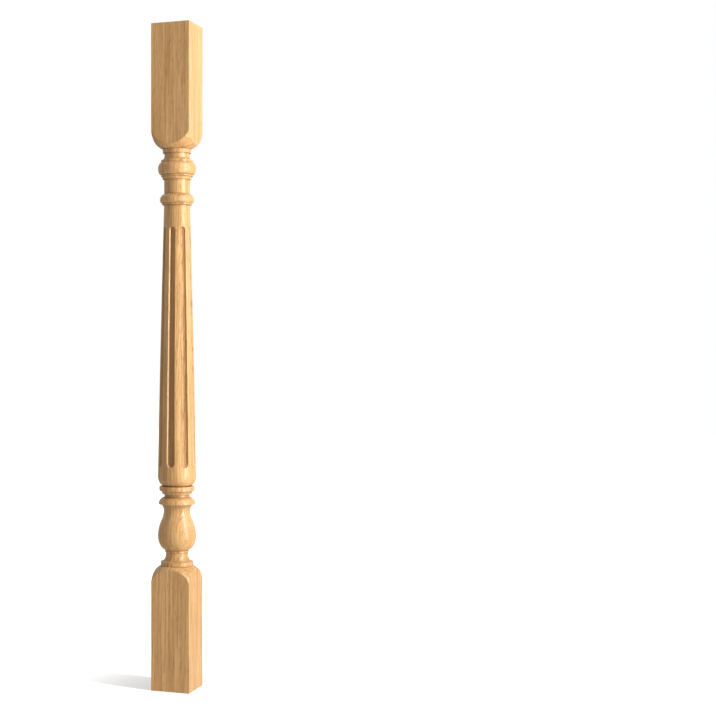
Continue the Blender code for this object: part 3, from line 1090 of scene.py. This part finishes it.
def make_lacquered_oak():
    """Pale oak with its grain, under a satin clear lacquer."""
    material = bpy.data.materials.new("lacquered_oak")
    material.use_nodes = True
    tree = material.node_tree
    shader = tree.nodes["Principled BSDF"].inputs
    masks = oak_masks(tree, add_node(tree, "ShaderNodeTexCoord").outputs["Object"])
    normal = grain_normal(tree, masks)

    feed(tree, oak_colour(tree, masks), shader["Base Color"])
    feed(tree, spread(tree, masks["tone"], 0.0, 1.0, *ROUGHNESS_RANGE), shader["Roughness"])
    feed(tree, normal, shader["Normal"])
    feed(tree, normal, shader["Coat Normal"])
    coat = math_node(tree, "MULTIPLY_ADD", masks["dash"], -COAT_LOST_IN_PORES, COAT_WEIGHT)
    feed(tree, coat, shader["Coat Weight"])
    shader["Specular IOR Level"].default_value = SPECULAR_LEVEL
    shader["Coat Roughness"].default_value = COAT_ROUGHNESS
    return material


oak = make_lacquered_oak()
baluster_mesh.materials.append(oak)
print("material:", oak.name, "with", len(oak.node_tree.nodes), "nodes")

# %% [markdown]
# ## The studio
#
# The photograph was made against pure white. The camera looks level from about half the
# baluster's height, turned so that it sees mostly the front face and a little of the right one.
# It stands two metres away, near enough for the edges of both blocks to slant towards each other.

# %% Set up the camera
TURN = math.radians(20.4)
CAMERA_DISTANCE = 2.0383
EYE_HEIGHT = 0.466
PHOTO_SIDE = 716
FOCUS_PIXELS = 1500
AXIS_PIXEL = 177
EYE_PIXEL = 345
SENSOR = 36.0

camera = bpy.data.objects.new("camera", bpy.data.cameras.new("camera"))
bpy.context.scene.collection.objects.link(camera)
bpy.context.scene.camera = camera
camera.location = (CAMERA_DISTANCE * math.sin(TURN), -CAMERA_DISTANCE * math.cos(TURN), EYE_HEIGHT)
camera.rotation_euler = (math.pi / 2, 0, TURN)
camera.data.sensor_width = SENSOR
camera.data.lens = SENSOR * FOCUS_PIXELS / PHOTO_SIDE
camera.data.shift_x = (PHOTO_SIDE / 2 - AXIS_PIXEL) / PHOTO_SIDE
camera.data.shift_y = (EYE_PIXEL - PHOTO_SIDE / 2) / PHOTO_SIDE
print(f"camera: {camera.data.lens:.1f} mm lens, {CAMERA_DISTANCE:.2f} m away")

# %% [markdown]
# One tall, narrow softbox on the right does most of the work. It lights the right side fully,
# grazes the front and leaves the left in shade, and it draws the upright highlight down the
# turnings. Because it is narrow, the edge of each flute throws a crisp shadow into its hollow.
# White surroundings fill the shade. The camera sees them as pure white, but they light the wood
# less than that, or the shade would vanish. In reflections they are brighter again, which gives the
# lacquer its sheen.

# %% Light it
LIGHT_TURN = TURN + math.radians(57)
LIGHT_DISTANCE = 0.95
LIGHT_WIDTH = 0.10
LIGHT_HEIGHT = 1.90
LIGHT_CLEARANCE = 0.01
LIGHT_POWER = 22.5
FILL_STRENGTH = 0.40
REFLECTED_STRENGTH = 0.75

softbox = bpy.data.objects.new("softbox", bpy.data.lights.new("softbox", "AREA"))
bpy.context.scene.collection.objects.link(softbox)
softbox.data.shape = "RECTANGLE"
softbox.data.size = LIGHT_WIDTH
softbox.data.size_y = LIGHT_HEIGHT
softbox.data.energy = LIGHT_POWER
softbox.location = (
    LIGHT_DISTANCE * math.sin(LIGHT_TURN),
    -LIGHT_DISTANCE * math.cos(LIGHT_TURN),
    LIGHT_HEIGHT / 2 + LIGHT_CLEARANCE,
)
softbox.rotation_euler = (math.pi / 2, 0, LIGHT_TURN)

world = bpy.data.worlds.new("white_surroundings")
bpy.context.scene.world = world
world.use_nodes = True
background = world.node_tree.nodes["Background"]
background.inputs["Color"].default_value = (1, 1, 1, 1)
path = add_node(world.node_tree, "ShaderNodeLightPath").outputs
reflected = math_node(
    world.node_tree, "MULTIPLY_ADD", path["Is Glossy Ray"], REFLECTED_STRENGTH - FILL_STRENGTH, FILL_STRENGTH
)
seen = math_node(world.node_tree, "MULTIPLY_ADD", path["Is Camera Ray"], 1 - FILL_STRENGTH, reflected)
world.node_tree.links.new(seen, background.inputs["Strength"])
bpy.context.scene.view_settings.view_transform = "Standard"
print(f"softbox {LIGHT_WIDTH} x {LIGHT_HEIGHT} m at {LIGHT_POWER} W, fill {FILL_STRENGTH}")

# %% [markdown]
# The floor is a plain sheet of white. It glows, and more so with distance, so the shadow shows
# close to the foot and fades into the background. Only the camera sees the glow. The wood
# doesn't, or it would be lit from below.

# %% Lay the floor
FLOOR_SIDE = 12.0
FLOOR_WHITE = (0.8, 0.8, 0.8, 1)
FLOOR_ROUGHNESS = 0.9
FLOOR_GLOW_NEAR = 0.43
FLOOR_GLOW_FAR = 1.0
GLOW_STARTS = 0.04
GLOW_ENDS = 0.24


def make_floor():
    """A white sweep whose glow grows away from the baluster and is seen by the camera alone."""
    shape = bmesh.new()
    bmesh.ops.create_grid(shape, x_segments=1, y_segments=1, size=FLOOR_SIDE / 2)
    mesh = bpy.data.meshes.new("studio_floor")
    shape.to_mesh(mesh)
    shape.free()
    floor = bpy.data.objects.new("studio_floor", mesh)
    bpy.context.scene.collection.objects.link(floor)

    material = bpy.data.materials.new("white_sweep")
    material.use_nodes = True
    tree = material.node_tree
    shader = tree.nodes["Principled BSDF"]
    shader.inputs["Base Color"].default_value = FLOOR_WHITE
    shader.inputs["Roughness"].default_value = FLOOR_ROUGHNESS
    shader.inputs["Specular IOR Level"].default_value = 0.0
    distance = add_node(tree, "ShaderNodeVectorMath", operation="LENGTH")
    tree.links.new(add_node(tree, "ShaderNodeTexCoord").outputs["Object"], distance.inputs[0])
    glow = spread(tree, distance.outputs["Value"], GLOW_STARTS, GLOW_ENDS, FLOOR_GLOW_NEAR, FLOOR_GLOW_FAR)
    seen = add_node(tree, "ShaderNodeLightPath").outputs["Is Camera Ray"]
    glow = math_node(tree, "MULTIPLY", glow, seen)
    shader.inputs["Emission Color"].default_value = (1, 1, 1, 1)
    tree.links.new(glow, shader.inputs["Emission Strength"])
    mesh.materials.append(material)
    return floor


floor = make_floor()
print("floor laid")

# %% [markdown]
# ## Finish
#
# The dressed piece must be no bigger than the solid it stands for. Last, the scene is brought up to
# date.

# %% Finish
bpy.context.view_layer.update()
